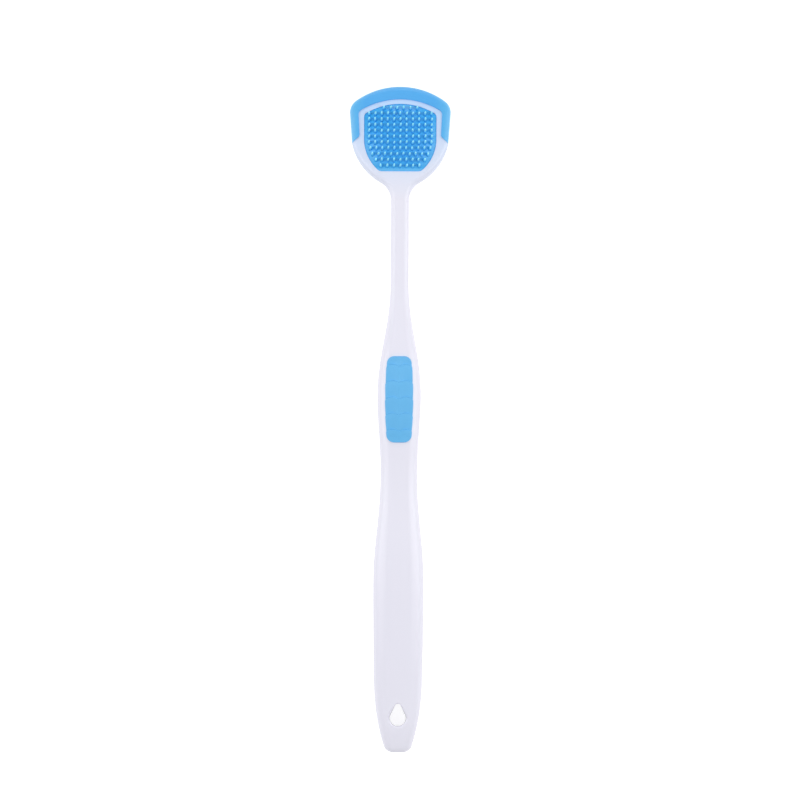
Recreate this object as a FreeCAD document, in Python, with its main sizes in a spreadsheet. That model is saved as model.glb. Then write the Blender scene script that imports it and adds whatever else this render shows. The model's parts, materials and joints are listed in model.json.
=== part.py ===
import FreeCAD, Part
import math
import os
import Sketcher

doc = FreeCAD.newDocument("tongue_scraper")
sizes = doc.addObject("Spreadsheet::Sheet", "sizes")

# Driving dimensions in millimetres. The tool lies on its back with its head towards +Y and its nubs up.
# The handle's spans, the straight neck and the head add up to the overall length of 185 mm.
dimensions = {
    # Head plate and neck, one flat moulding with rounded edges; head features lie below the top of the lip
    "head_width": 28.0,
    "head_length": 31.45,
    "neck_length": 16.55,
    "shield_radius": 16.2,
    "flare_radius": 5.7,
    "neck_width": 5.0,
    "plate_back": 2.0,
    "plate_thickness": 4.0,
    "plate_round": 1.5,
    # Soft lip round the top and the sides of the head
    "lip_radius": 21.2,
    "lip_corner": 4.0,
    "lip_depth": 3.77,
    "lip_side": 2.45,
    "lip_drop": 15.85,
    "lip_slant": 1.85,
    "lip_proud": 0.4,
    "lip_round": 1.7,
    "lip_foot_inset": 0.65,
    "lip_foot_round": 1.0,
    # White rib between the lip and the pad, and the tongue that holds the lip
    "rib_radius": 21.2,
    "rib_corner": 1.5,
    "rib_top": 1.28,
    "rib_side": 1.57,
    "rib_foot_inset": 0.3,
    "tongue_reach": 1.2,
    "tongue_thickness": 1.4,
    "tongue_end": 2.0,
    # Nub pad in its recess
    "pad_radius": 18.6,
    "pad_corner": 1.2,
    "pad_to_neck": 7.8,
    "pad_cheek_drop": 8.9,
    "pad_foot_width": 11.4,
    "pad_foot_round": 0.9,
    "recess_depth": 1.3,
    "pad_sink": 0.15,
    # Nubs, in rows across the pad, set in from its outline
    "nub_base": 1.0,
    "nub_tip": 0.56,
    "nub_height": 1.7,
    "nub_root": 0.2,
    "nub_first_row": 1.2,
    "nub_row_pitch": 1.6,
    "nub_least_pitch": 1.64,
    "nub_inset_top": 0.6,
    "nub_inset_side": 1.3,
    "nub_inset_cheek": 1.3,
    "nub_inset_foot": 1.0,
    # Thumb grip in its recess on the thumb swell
    "grip_length": 23.8,
    "grip_width": 7.8,
    "grip_side_radius": 125.0,
    "grip_corner": 1.5,
    "grip_depth": 1.5,
    "grip_proud": 0.5,
    "grip_crown": 13.0,
    "grip_edge_round": 0.5,
    # Scale-like steps across the thumb grip
    "ridge_first": 2.9,
    "ridge_pitch": 4.47,
    "ridge_step": 0.4,
    "ridge_rise": 1.25,
    "ridge_fall": 0.8,
    "ridge_overhang": 0.4,
    # Hanging hole
    "hole_at": 10.3,
    "hole_width": 4.5,
    "hole_round": 0.5,
    "end_round": 1.7,
    # Gap left round the sides of the soft pieces
    "bond_gap": 0.05,
    # Cross-sections of the handle from the tail up: span from the one below, width, front, back, edge radius
    "section_crown": 24.0,
    "tail_end_width": 6.7,
    "tail_end_front": 6.1,
    "tail_end_back": 1.0,
    "tail_end_round": 2.2,
    "tail_span": 4.5,
    "tail_width": 9.3,
    "tail_front": 7.0,
    "tail_back": -0.15,
    "tail_round": 2.6,
    "heel_span": 9.0,
    "heel_width": 12.57,
    "heel_front": 7.6,
    "heel_back": -0.35,
    "heel_round": 3.1,
    "palm_low_span": 9.0,
    "palm_low_width": 13.5,
    "palm_low_front": 7.95,
    "palm_low_back": -0.35,
    "palm_low_round": 3.2,
    "palm_span": 16.5,
    "palm_width": 13.86,
    "palm_front": 8.2,
    "palm_back": -0.3,
    "palm_round": 3.3,
    "swell_span": 15.7,
    "swell_width": 13.4,
    "swell_front": 8.1,
    "swell_back": -0.3,
    "swell_round": 3.3,
    "hip_span": 6.8,
    "hip_width": 12.1,
    "hip_front": 7.7,
    "hip_back": -0.25,
    "hip_round": 3.1,
    "waist_span": 15.0,
    "waist_width": 10.14,
    "waist_front": 7.5,
    "waist_back": -0.2,
    "waist_round": 2.9,
    "thumb_low_span": 12.0,
    "thumb_low_width": 11.05,
    "thumb_low_front": 8.45,
    "thumb_low_back": -0.25,
    "thumb_low_round": 3.0,
    "thumb_span": 9.65,
    "thumb_width": 12.06,
    "thumb_front": 8.7,
    "thumb_back": -0.25,
    "thumb_round": 3.2,
    "shoulder_span": 11.85,
    "shoulder_width": 10.15,
    "shoulder_front": 8.2,
    "shoulder_back": 0.1,
    "shoulder_round": 2.9,
    "flare_span": 8.5,
    "flare_width": 7.1,
    "flare_front": 7.05,
    "flare_back": 1.2,
    "flare_round": 2.2,
    "neck_low_span": 12.5,
    "neck_span": 6.0,
}
for row, (name, number) in enumerate(dimensions.items(), start=1):
    sizes.set(f"A{row}", name)
    sizes.set(f"B{row}", str(number))
    sizes.setAlias(f"B{row}", name)
doc.recompute()

# The sketcher's numbers for its vertical axis and origin, and for the points of an element
V_AXIS, ORIGIN = range(-2, 0)
START, END, CENTRE = range(1, 4)
# Distance within which points and edges count as lying on a plane or wall
NEAR = 1e-3


def value(expression):
    """The number that an expression on the sheet gives now."""
    return float(sizes.evalExpression(expression))


def new_body(name):
    return doc.addObject("PartDesign::Body", name)


def origin_plane(body, role):
    return next(plane for plane in body.Origin.OriginFeatures if plane.Role == role)


def new_sketch(body, name, role, across="0", up="0", along="0"):
    """A sketch on an origin plane of the body, moved in the plane and along its normal."""
    sketch = body.newObject("Sketcher::SketchObject", name)
    sketch.AttachmentSupport = [(origin_plane(body, role), "")]
    sketch.MapMode = "FlatFace"
    for direction, expression in (("x", across), ("y", up), ("z", along)):
        sketch.setExpression(f"AttachmentOffset.Base.{direction}", expression)
    return sketch


def line(sketch, start, end):
    segment = Part.LineSegment(FreeCAD.Vector(*start, 0), FreeCAD.Vector(*end, 0))
    return sketch.addGeometry(segment, False)


def arc(sketch, centre, radius, first, last):
    circle = Part.Circle(FreeCAD.Vector(*centre, 0), FreeCAD.Vector(0, 0, 1), radius)
    return sketch.addGeometry(Part.ArcOfCircle(circle, first, last), False)


def relate(sketch, kind, *elements):
    return sketch.addConstraint(Sketcher.Constraint(kind, *elements))


def measure(sketch, kind, expression, *elements):
    """A dimension of the sketch that follows an expression on the sheet."""
    index = sketch.addConstraint(Sketcher.Constraint(kind, *elements, value(expression)))
    sketch.setExpression(f"Constraints[{index}]", expression)


def place_x(sketch, expression, element, point):
    measure(sketch, "DistanceX", expression, ORIGIN, START, element, point)


def place_y(sketch, expression, element, point):
    measure(sketch, "DistanceY", expression, ORIGIN, START, element, point)


def disc(sketch, radius, below):
    """A circle on the middle line, a distance below the sketch's origin."""
    circle = Part.Circle(FreeCAD.Vector(0, -value(below), 0), FreeCAD.Vector(0, 0, 1), value(radius))
    ring = sketch.addGeometry(circle, False)
    relate(sketch, "PointOnObject", ring, CENTRE, V_AXIS)
    measure(sketch, "DistanceY", below, ring, CENTRE, ORIGIN, START)
    measure(sketch, "Radius", radius, ring)


def polygon(sketch, sides, radius):
    """A regular polygon round the sketch's origin, with its corners on a circle."""
    reach = value(radius)
    turns = [2 * math.pi * (side + 0.5) / sides for side in range(sides)]
    corners = [(reach * math.cos(turn), reach * math.sin(turn)) for turn in turns]
    ring = sketch.addGeometry(Part.Circle(FreeCAD.Vector(), FreeCAD.Vector(0, 0, 1), reach), True)
    relate(sketch, "Coincident", ring, CENTRE, ORIGIN, START)
    measure(sketch, "Radius", radius, ring)
    edges = [line(sketch, start, end) for start, end in zip(corners, corners[1:] + corners[:1])]
    for edge, after in zip(edges, edges[1:] + edges[:1]):
        relate(sketch, "Coincident", edge, END, after, START)
        relate(sketch, "PointOnObject", edge, END, ring)
    for edge in edges[1:]:
        relate(sketch, "Equal", edges[0], edge)
    relate(sketch, "Vertical", edges[-1])


def extrude(body, kind, name, sketch, length, upwards=True, taper="0"):
    """A Pad or Pocket along the sketch's normal, or against it, with its effect on the volume checked."""
    before = 0 if body.Shape.isNull() else body.Shape.Volume
    feature = body.newObject(f"PartDesign::{kind}", name)
    feature.Profile = sketch
    feature.setExpression("Length", length)
    feature.setExpression("TaperAngle", taper)
    feature.Reversed = upwards == (kind == "Pocket")
    doc.recompute()
    change = body.Shape.Volume - before
    if change * (1 if kind == "Pad" else -1) <= 0:
        raise RuntimeError(f"{name} changed nothing")
    return feature


def mirror(body, name, originals):
    """Repeats features of the right half on the left."""
    feature = body.newObject("PartDesign::Mirrored", name)
    feature.Originals = originals
    feature.MirrorPlane = (origin_plane(body, "YZ_Plane"), [""])
    body.Tip = feature
    doc.recompute()
    return feature


def fillet(body, name, radius, wanted):
    """Rounds every edge of the body's tip for which wanted(edge) is true."""
    tip = body.Tip
    names = [f"Edge{i}" for i, edge in enumerate(tip.Shape.Edges, start=1) if wanted(edge)]
    if not names:
        raise RuntimeError(f"{name} found no edge")
    feature = body.newObject("PartDesign::Fillet", name)
    feature.Base = (tip, names)
    feature.setExpression("Radius", radius)
    doc.recompute()
    return feature


def is_upright(edge):
    """True for a straight edge along Z."""
    box = edge.BoundBox
    return box.ZLength > NEAR and box.XLength < NEAR and box.YLength < NEAR


def is_level(edge, height):
    """True for an edge that lies at one height."""
    box = edge.BoundBox
    return abs(box.ZMin - height) < NEAR and abs(box.ZMax - height) < NEAR


# Places along the tool: each cross-section's height above the tail, then both ends from the middle
STATIONS = ("tail", "heel", "palm_low", "palm", "swell", "hip", "waist", "thumb_low", "thumb", "shoulder",
            "flare", "neck_low", "neck")
station_at = {"tail_end": "0"}
below = "0"
for station in STATIONS:
    below = f"{below} + sizes.{station}_span"
    station_at[station] = f"({below})"
LENGTH = f"({station_at['neck']} + sizes.neck_length + sizes.head_length)"
TOP = f"{LENGTH} / 2"
TAIL = f"-{LENGTH} / 2"

HALF_HEAD = "sizes.head_width / 2"
PLATE_FRONT = "(sizes.plate_back + sizes.plate_thickness)"
TONGUE_BACK = "sizes.plate_back + (sizes.plate_thickness - sizes.tongue_thickness) / 2"
LIP_THICKNESS = "(sizes.plate_thickness + 2 * sizes.lip_proud)"
PAD_FLOOR = f"{PLATE_FRONT} - sizes.recess_depth"
HOLE_BELOW = f"({TOP} - sizes.hole_at)"


def arch(sketch, apex, radius, corner, half_width, foot_x, foot_y):
    """Right half of an arch of the head: a side from its foot up, a round corner and the top arc."""
    apex_y, top_r, corner_r = value(apex), value(radius), value(corner)
    foot = (value(foot_x), value(foot_y))
    middle = (0, apex_y - top_r)
    corner_x = value(half_width) - corner_r
    corner_y = middle[1] + math.sqrt((top_r - corner_r) ** 2 - corner_x ** 2)
    turn = math.atan2(corner_y - middle[1], corner_x)
    side = line(sketch, foot, (value(half_width), corner_y))
    bend = arc(sketch, (corner_x, corner_y), corner_r, 0, turn)
    top = arc(sketch, middle, top_r, turn, math.pi / 2)
    relate(sketch, "Tangent", side, END, bend, START)
    relate(sketch, "Tangent", bend, END, top, START)
    relate(sketch, "PointOnObject", top, CENTRE, V_AXIS)
    relate(sketch, "PointOnObject", top, END, V_AXIS)
    place_y(sketch, apex, top, END)
    measure(sketch, "Radius", radius, top)
    measure(sketch, "Radius", corner, bend)
    place_x(sketch, half_width, side, END)
    place_x(sketch, foot_x, side, START)
    place_y(sketch, foot_y, side, START)
    return side, top


def close_to_middle(sketch, corner, top):
    """Closes a half outline with a level bottom line from its lowest corner and a line up the middle."""
    element, point = corner
    low = sketch.getPoint(element, point)
    high = sketch.getPoint(top, END)
    bottom = line(sketch, (low.x, low.y), (0, low.y))
    middle = line(sketch, (0, low.y), (0, high.y))
    relate(sketch, "Coincident", bottom, START, element, point)
    relate(sketch, "Horizontal", bottom)
    relate(sketch, "PointOnObject", bottom, END, V_AXIS)
    relate(sketch, "Coincident", middle, START, bottom, END)
    relate(sketch, "Coincident", middle, END, top, END)


RIB_APEX = f"{TOP} - sizes.lip_depth"
RIB_HALF = f"{HALF_HEAD} - sizes.lip_side"
RIB_FOOT_X = f"{HALF_HEAD} - sizes.lip_side - sizes.rib_foot_inset"
RIB_FOOT_Y = f"{TOP} - sizes.lip_drop + sizes.lip_slant"
LIP_END_X = f"{HALF_HEAD} - sizes.lip_foot_inset"
LIP_END_Y = f"{TOP} - sizes.lip_drop"


def rib_arch(sketch, offset):
    """The outer edge of the white rib, moved outwards by an offset."""
    return arch(sketch, f"{RIB_APEX} + {offset}", f"sizes.rib_radius + {offset}",
                f"sizes.rib_corner + {offset}", f"{RIB_HALF} + {offset}", f"{RIB_FOOT_X} + {offset}",
                RIB_FOOT_Y)


def tongue_outline(sketch, offset):
    """The thin edge of the plate that the lip is moulded over."""
    reach = f"sizes.tongue_reach + {offset}"
    side, top = arch(sketch, f"{RIB_APEX} + {reach}", f"sizes.rib_radius + {reach}",
                     f"sizes.rib_corner + {reach}", f"{RIB_HALF} + {reach}", f"{RIB_FOOT_X} + {reach}",
                     f"{RIB_FOOT_Y} + sizes.tongue_end - {offset}")
    close_to_middle(sketch, (side, START), top)


PAD_HALF = f"({HALF_HEAD} - sizes.lip_side - sizes.rib_side)"
PAD_APEX = f"({TOP} - sizes.lip_depth - sizes.rib_top)"
PAD_FOOT = f"({TOP} - sizes.head_length + sizes.pad_to_neck)"
PAD_SHOULDER = f"({PAD_FOOT} + sizes.pad_cheek_drop)"
FOOT_INSET = f"({PAD_HALF} - sizes.pad_foot_width / 2)"
CHEEK_RADIUS = f"(({FOOT_INSET} ^ 2 + sizes.pad_cheek_drop ^ 2) / (2 * {FOOT_INSET}))"


def pad_outline(sketch, offset):
    """The nub pad seen from the front: arched top, straight sides, round cheeks and a level foot."""
    half = f"{PAD_HALF} + {offset}"
    side, top = arch(sketch, f"{PAD_APEX} + {offset}", f"sizes.pad_radius + {offset}",
                     f"sizes.pad_corner + {offset}", half, half, PAD_SHOULDER)
    cheek_r = value(f"{CHEEK_RADIUS} + {offset}")
    centre = (value(half) - cheek_r, value(PAD_SHOULDER))
    foot = f"{PAD_FOOT} - {offset}"
    lowest = -math.asin((centre[1] - value(foot)) / cheek_r)
    cheek = arc(sketch, centre, cheek_r, lowest, 0)
    relate(sketch, "Tangent", cheek, END, side, START)
    measure(sketch, "Radius", f"{CHEEK_RADIUS} + {offset}", cheek)
    place_y(sketch, foot, cheek, START)
    close_to_middle(sketch, (cheek, START), top)


GRIP_MIDDLE = f"({TAIL} + {station_at['thumb']})"
GRIP_TOP = f"{GRIP_MIDDLE} + sizes.grip_length / 2"
GRIP_FLOOR = "(sizes.thumb_front - sizes.grip_depth)"
GRIP_HEIGHT = "(sizes.grip_depth + sizes.grip_proud)"
GRIP_CREST = "(sizes.thumb_front + sizes.grip_proud)"


def grip_outline(sketch, offset):
    """The thumb grip seen from the front: a barrel with round corners."""
    half = f"sizes.grip_width / 2 + {offset}"
    side_r = f"sizes.grip_side_radius + {offset}"
    corner = f"sizes.grip_corner + {offset}"
    top = f"{GRIP_TOP} + {offset}"
    bottom = f"{GRIP_MIDDLE} - sizes.grip_length / 2 - {offset}"
    radius, corner_r, middle_y = value(side_r), value(corner), value(GRIP_MIDDLE)
    side_x = value(half) - radius
    rise = value(top) - corner_r - middle_y
    corner_x = side_x + math.sqrt((radius - corner_r) ** 2 - rise ** 2)
    turn = math.atan2(rise, corner_x - side_x)
    low_line = line(sketch, (0, value(bottom)), (corner_x, value(bottom)))
    low_bend = arc(sketch, (corner_x, middle_y - rise), corner_r, -math.pi / 2, -turn)
    side = arc(sketch, (side_x, middle_y), radius, -turn, turn)
    top_bend = arc(sketch, (corner_x, middle_y + rise), corner_r, turn, math.pi / 2)
    top_line = line(sketch, (corner_x, value(top)), (0, value(top)))
    centre_line = line(sketch, (0, value(top)), (0, value(bottom)))
    for first, second in ((low_line, low_bend), (low_bend, side), (side, top_bend), (top_bend, top_line)):
        relate(sketch, "Tangent", first, END, second, START)
    relate(sketch, "Coincident", top_line, END, centre_line, START)
    relate(sketch, "Coincident", centre_line, END, low_line, START)
    for level in (low_line, top_line):
        relate(sketch, "Horizontal", level)
    relate(sketch, "PointOnObject", top_line, END, V_AXIS)
    relate(sketch, "PointOnObject", low_line, START, V_AXIS)
    measure(sketch, "Radius", side_r, side)
    measure(sketch, "Radius", corner, low_bend)
    relate(sketch, "Equal", low_bend, top_bend)
    measure(sketch, "DistanceX", f"{side_r} - ({half})", side, CENTRE, ORIGIN, START)
    place_y(sketch, GRIP_MIDDLE, side, CENTRE)
    place_y(sketch, top, top_line, END)
    measure(sketch, "DistanceY", f"-({bottom})", low_line, START, ORIGIN, START)


# Handle, first part: head plate and neck as one flat moulding
handle = new_body("handle")
plate_sketch = new_sketch(handle, "plate_outline", "XY_Plane", along="sizes.plate_back")
rib_side, rib_top = rib_arch(plate_sketch, "0")
neck_half = value("sizes.neck_width / 2")
shield_r = value("sizes.shield_radius")
flare_r = value("sizes.flare_radius")
lip_end = FreeCAD.Vector(value(LIP_END_X), value(LIP_END_Y), 0)
flare_centre = FreeCAD.Vector(neck_half + flare_r, value(f"{TOP} - sizes.head_length"), 0)
# The shield's centre, from its distances to the lip's end and to the centre of the flare that it runs into
to_flare = flare_centre - lip_end
along_it = (shield_r ** 2 - (shield_r + flare_r) ** 2 + to_flare.Length ** 2) / (2 * to_flare.Length)
off_it = math.sqrt(shield_r ** 2 - along_it ** 2)
inward = FreeCAD.Vector(to_flare.y, -to_flare.x, 0).normalize()
shield_centre = lip_end + to_flare.normalize() * along_it + inward * off_it
to_touch = flare_centre - shield_centre
to_lip = lip_end - shield_centre
touch_angle = math.atan2(to_touch.y, to_touch.x)
lip_angle = math.atan2(to_lip.y, to_lip.x)
lip_cut = line(plate_sketch, (value(RIB_FOOT_X), value(RIB_FOOT_Y)), (lip_end.x, lip_end.y))
shield = arc(plate_sketch, (shield_centre.x, shield_centre.y), shield_r, touch_angle, lip_angle)
flare = arc(plate_sketch, (flare_centre.x, flare_centre.y), flare_r, touch_angle + math.pi, math.pi)
neck_end = f"{TAIL} + {station_at['neck']}"
neck = line(plate_sketch, (neck_half, flare_centre.y), (neck_half, value(neck_end)))
relate(plate_sketch, "Coincident", lip_cut, START, rib_side, START)
relate(plate_sketch, "Coincident", lip_cut, END, shield, END)
relate(plate_sketch, "Tangent", shield, START, flare, START)
relate(plate_sketch, "Tangent", flare, END, neck, START)
relate(plate_sketch, "Vertical", neck)
place_x(plate_sketch, LIP_END_X, lip_cut, END)
place_y(plate_sketch, LIP_END_Y, lip_cut, END)
measure(plate_sketch, "Radius", "sizes.shield_radius", shield)
measure(plate_sketch, "Radius", "sizes.flare_radius", flare)
place_y(plate_sketch, f"{TOP} - sizes.head_length", neck, START)
place_x(plate_sketch, "sizes.neck_width / 2", neck, END)
place_y(plate_sketch, neck_end, neck, END)
close_to_middle(plate_sketch, (neck, END), rib_top)
plate = extrude(handle, "Pad", "head_plate", plate_sketch, "sizes.plate_thickness")
mirror(handle, "whole_plate", [plate])


def at_rib_foot(edge):
    """True for the two upright corners where the white rib runs out beside the feet of the lip."""
    middle = edge.BoundBox.Center
    off_x = abs(middle.x) - value(RIB_FOOT_X)
    off_y = middle.y - value(RIB_FOOT_Y)
    return is_upright(edge) and math.hypot(off_x, off_y) < value("2 * sizes.bond_gap")


fillet(handle, "rib_foot_corners", "sizes.lip_foot_round + sizes.bond_gap", at_rib_foot)


def on_open_edge(edge):
    """True for the front and back edges of the plate and neck below the lip."""
    box = edge.BoundBox
    level = is_level(edge, value("sizes.plate_back")) or is_level(edge, value(PLATE_FRONT))
    return level and box.YMax < value(LIP_END_Y) + NEAR and box.YLength > NEAR


fillet(handle, "plate_edges", "sizes.plate_round", on_open_edge)

tongue_sketch = new_sketch(handle, "tongue_outline", "XY_Plane", along=TONGUE_BACK)
tongue_outline(tongue_sketch, "0")
tongue = extrude(handle, "Pad", "tongue", tongue_sketch, "sizes.tongue_thickness")
mirror(handle, "whole_tongue", [tongue])


# Handle, second part: neck, thumb swell, waist, palm and tail as one loft through rounded sections
def section(name, width, front, back, corner, crown=None):
    """A cross-section with rounded edges; its front and back bulge where a crown radius is given."""
    sketch = new_sketch(handle, f"{name}_section", "XZ_Plane", along=f"{TOP} - {station_at[name]}")
    half, high, low, round_r = (value(e) for e in (f"{width} / 2", front, back, corner))
    bulge = value(crown) if crown else 0
    lean = math.asin((half - round_r) / (bulge - round_r)) if crown else 0
    drop = bulge - (bulge - round_r) * math.cos(lean) if crown else round_r
    inner = half - round_r
    right, up, left, down = (turn * math.pi / 2 for turn in range(4))

    def face(height, facing, inward):
        if crown:
            return arc(sketch, (0, height + inward * bulge), bulge, facing - lean, facing + lean)
        return line(sketch, (-inward * inner, height), (inward * inner, height))

    loop = [
        face(high, up, -1),
        arc(sketch, (-inner, high - drop), round_r, up + lean, left),
        line(sketch, (-half, high - drop), (-half, low + drop)),
        arc(sketch, (-inner, low + drop), round_r, left, down - lean),
        face(low, down, 1),
        arc(sketch, (inner, low + drop), round_r, down + lean, 2 * math.pi),
        line(sketch, (half, low + drop), (half, high - drop)),
        arc(sketch, (inner, high - drop), round_r, right, up - lean),
    ]
    front_face, bend, left_side, _, back_face, _, right_side, _ = loop
    for first, second in zip(loop, loop[1:] + loop[:1]):
        relate(sketch, "Tangent", first, END, second, START)
    for other in loop[3::2]:
        relate(sketch, "Equal", bend, other)
    measure(sketch, "Radius", corner, bend)
    for side in (left_side, right_side):
        relate(sketch, "Vertical", side)
    place_x(sketch, f"{width} / 2", right_side, START)
    measure(sketch, "DistanceX", f"{width} / 2", left_side, START, ORIGIN, START)
    if crown:
        for surface in (front_face, back_face):
            relate(sketch, "PointOnObject", surface, CENTRE, V_AXIS)
            measure(sketch, "Radius", crown, surface)
        measure(sketch, "DistanceY", f"{crown} - {front}", front_face, CENTRE, ORIGIN, START)
        place_y(sketch, f"{crown} + {back}", back_face, CENTRE)
    else:
        for surface in (front_face, back_face):
            relate(sketch, "Horizontal", surface)
        place_y(sketch, front, front_face, START)
        place_y(sketch, back, back_face, START)
    return sketch


def flat_section(name):
    return section(name, "sizes.neck_width", PLATE_FRONT, "sizes.plate_back", "sizes.plate_round")


def full_section(name):
    width, front, back, corner = (f"sizes.{name}_{part}" for part in ("width", "front", "back", "round"))
    return section(name, width, front, back, corner, "sizes.section_crown")


loft_sections = [full_section("tail_end")]
for station in STATIONS:
    make = flat_section if station.startswith("neck") else full_section
    loft_sections.append(make(station))
doc.recompute()
grasp = handle.newObject("PartDesign::AdditiveLoft", "grasp")
grasp.Profile = loft_sections[0]
grasp.Sections = loft_sections[1:]
doc.recompute()
fillet(handle, "tail_edges", "sizes.end_round",
       lambda edge: edge.BoundBox.YMax < value(TAIL) + NEAR)

rest_sketch = new_sketch(handle, "rest_plane", "XY_Plane")
disc(rest_sketch, LENGTH, "0")
extrude(handle, "Pocket", "rest_flat", rest_sketch, "sizes.plate_back", upwards=False)

hole_sketch = new_sketch(handle, "hole_outline", "XY_Plane", along="-sizes.heel_front / 2")
disc(hole_sketch, "sizes.hole_width / 2", HOLE_BELOW)
extrude(handle, "Pocket", "hanging_hole", hole_sketch, "2 * sizes.heel_front")


def on_hole_rim(edge):
    """True for the edges round the two mouths of the hanging hole."""
    axis_y = -value(HOLE_BELOW)
    wall_r = value("sizes.hole_width / 2")
    points = [edge.valueAt(edge.FirstParameter), edge.valueAt((edge.FirstParameter + edge.LastParameter) / 2)]
    on_wall = [abs(math.hypot(point.x, point.y - axis_y) - wall_r) < NEAR for point in points]
    return all(on_wall) and not is_upright(edge)


fillet(handle, "hole_rims", "sizes.hole_round", on_hole_rim)

grip_recess_sketch = new_sketch(handle, "grip_recess_outline", "XY_Plane", along=GRIP_FLOOR)
grip_outline(grip_recess_sketch, "sizes.bond_gap")
grip_recess = extrude(handle, "Pocket", "grip_recess", grip_recess_sketch, f"2 * {GRIP_HEIGHT}")
mirror(handle, "whole_grip_recess", [grip_recess])

pad_recess_sketch = new_sketch(handle, "pad_recess_outline", "XY_Plane", along=PAD_FLOOR)
pad_outline(pad_recess_sketch, "sizes.bond_gap")
pad_recess = extrude(handle, "Pocket", "pad_recess", pad_recess_sketch, "2 * sizes.recess_depth")
mirror(handle, "whole_pad_recess", [pad_recess])


def at_pad_foot(edge):
    """True for the two upright corners at the foot of the pad or of its recess."""
    from_foot = abs(edge.BoundBox.Center.y - value(PAD_FOOT))
    return is_upright(edge) and from_foot < value("2 * sizes.bond_gap")


fillet(handle, "pad_recess_corners", "sizes.pad_foot_round + sizes.bond_gap", at_pad_foot)


# Scraper lip: a soft arch round the top and sides of the head, slotted for the tongue
scraper_lip = new_body("scraper_lip")
lip_sketch = new_sketch(scraper_lip, "lip_outline", "XY_Plane", along="sizes.plate_back - sizes.lip_proud")
outer_side, outer_top = arch(lip_sketch, TOP, "sizes.lip_radius", "sizes.lip_corner", HALF_HEAD,
                             LIP_END_X, f"{LIP_END_Y} + sizes.bond_gap")
inner_side, inner_top = rib_arch(lip_sketch, "sizes.bond_gap")
lip_middle = line(lip_sketch, (0, value(TOP)), (0, value(RIB_APEX)))
lip_foot = line(lip_sketch, (value(RIB_FOOT_X), value(RIB_FOOT_Y)), (value(LIP_END_X), value(LIP_END_Y)))
relate(lip_sketch, "Coincident", lip_middle, START, outer_top, END)
relate(lip_sketch, "Coincident", lip_middle, END, inner_top, END)
relate(lip_sketch, "Coincident", lip_foot, START, inner_side, START)
relate(lip_sketch, "Coincident", lip_foot, END, outer_side, START)
lip_pad = extrude(scraper_lip, "Pad", "lip", lip_sketch, LIP_THICKNESS)
slot_sketch = new_sketch(scraper_lip, "slot_outline", "XY_Plane", along=TONGUE_BACK)
tongue_outline(slot_sketch, "sizes.bond_gap")
slot = extrude(scraper_lip, "Pocket", "tongue_slot", slot_sketch, "sizes.tongue_thickness")
mirror(scraper_lip, "whole_lip", [lip_pad, slot])
fillet(scraper_lip, "lip_foot_corners", "sizes.lip_foot_round", at_rib_foot)


def on_scraping_edge(edge):
    """True for the front and back edges along the outside of the lip."""
    back = value("sizes.plate_back - sizes.lip_proud")
    if not (is_level(edge, back) or is_level(edge, back + value(LIP_THICKNESS))):
        return False
    point = edge.valueAt((edge.FirstParameter + edge.LastParameter) / 2)
    beside = abs(point.x) > value(f"{HALF_HEAD} - sizes.lip_side / 2")
    return beside or point.y > value(f"{TOP} - sizes.lip_depth / 2")


fillet(scraper_lip, "scraping_edge", "sizes.lip_round", on_scraping_edge)


# Nub pad: a soft plate in the head's recess with rows of tapered nubs
pad_plate = new_body("pad_plate")
pad_sketch = new_sketch(pad_plate, "pad_outline", "XY_Plane", along=PAD_FLOOR)
pad_outline(pad_sketch, "0")
pad = extrude(pad_plate, "Pad", "pad", pad_sketch, "sizes.recess_depth - sizes.pad_sink")
mirror(pad_plate, "whole_pad", [pad])
fillet(pad_plate, "pad_corners", "sizes.pad_foot_round", at_pad_foot)

# As many nubs go in each row, and as many rows on the pad, as the least pitches leave room for. Each nub is
# a slim eight-sided pyramid with its tip cut off, which keeps more than a hundred of them light.
NUB_SIDES = 8
NUB_LENGTH = "(sizes.nub_root + sizes.nub_height)"
NUB_TAPER = f"-atan((sizes.nub_base - sizes.nub_tip) / 2 / {NUB_LENGTH})"
ARCH_MIDDLE = f"({PAD_APEX} - sizes.pad_radius)"
CHEEK_MIDDLE = f"({PAD_HALF} - {CHEEK_RADIUS})"
ROWS_SPAN = f"({PAD_APEX} - sizes.nub_first_row - {PAD_FOOT} - sizes.nub_inset_foot)"
row_count = math.floor(value(f"{ROWS_SPAN} / sizes.nub_row_pitch")) + 1
nub_rows = []
for row in range(row_count):
    row_y = f"({PAD_APEX} - sizes.nub_first_row - {row} * sizes.nub_row_pitch)"
    under_arch = f"sqrt((sizes.pad_radius - sizes.nub_inset_top) ^ 2 - ({row_y} - {ARCH_MIDDLE}) ^ 2)"
    in_sides = f"{PAD_HALF} - sizes.nub_inset_side"
    below_shoulder = f"min(0; {row_y} - {PAD_SHOULDER})"
    in_cheeks = f"{CHEEK_MIDDLE} + sqrt(({CHEEK_RADIUS} - sizes.nub_inset_cheek) ^ 2 - {below_shoulder} ^ 2)"
    reach = f"min({under_arch}; {in_sides}; {in_cheeks})"
    row_body = new_body(f"nub_row_{row}")
    row_body.AllowCompound = True
    nub_sketch = new_sketch(row_body, f"nub_foot_{row}", "XY_Plane", across=f"-{reach}", up=row_y,
                            along=f"{PLATE_FRONT} - sizes.pad_sink - sizes.nub_root")
    polygon(nub_sketch, NUB_SIDES, "sizes.nub_base / 2")
    nub = extrude(row_body, "Pad", f"nub_{row}", nub_sketch, NUB_LENGTH, taper=NUB_TAPER)
    repeats = row_body.newObject("PartDesign::LinearPattern", f"nubs_{row}")
    repeats.Originals = [nub]
    repeats.Direction = (nub_sketch, ["H_Axis"])
    repeats.setExpression("Occurrences", f"floor(2 * {reach} / sizes.nub_least_pitch) + 1")
    repeats.setExpression("Length", f"2 * {reach}")
    row_body.Tip = repeats
    nub_rows.append(row_body)
doc.recompute()
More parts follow.
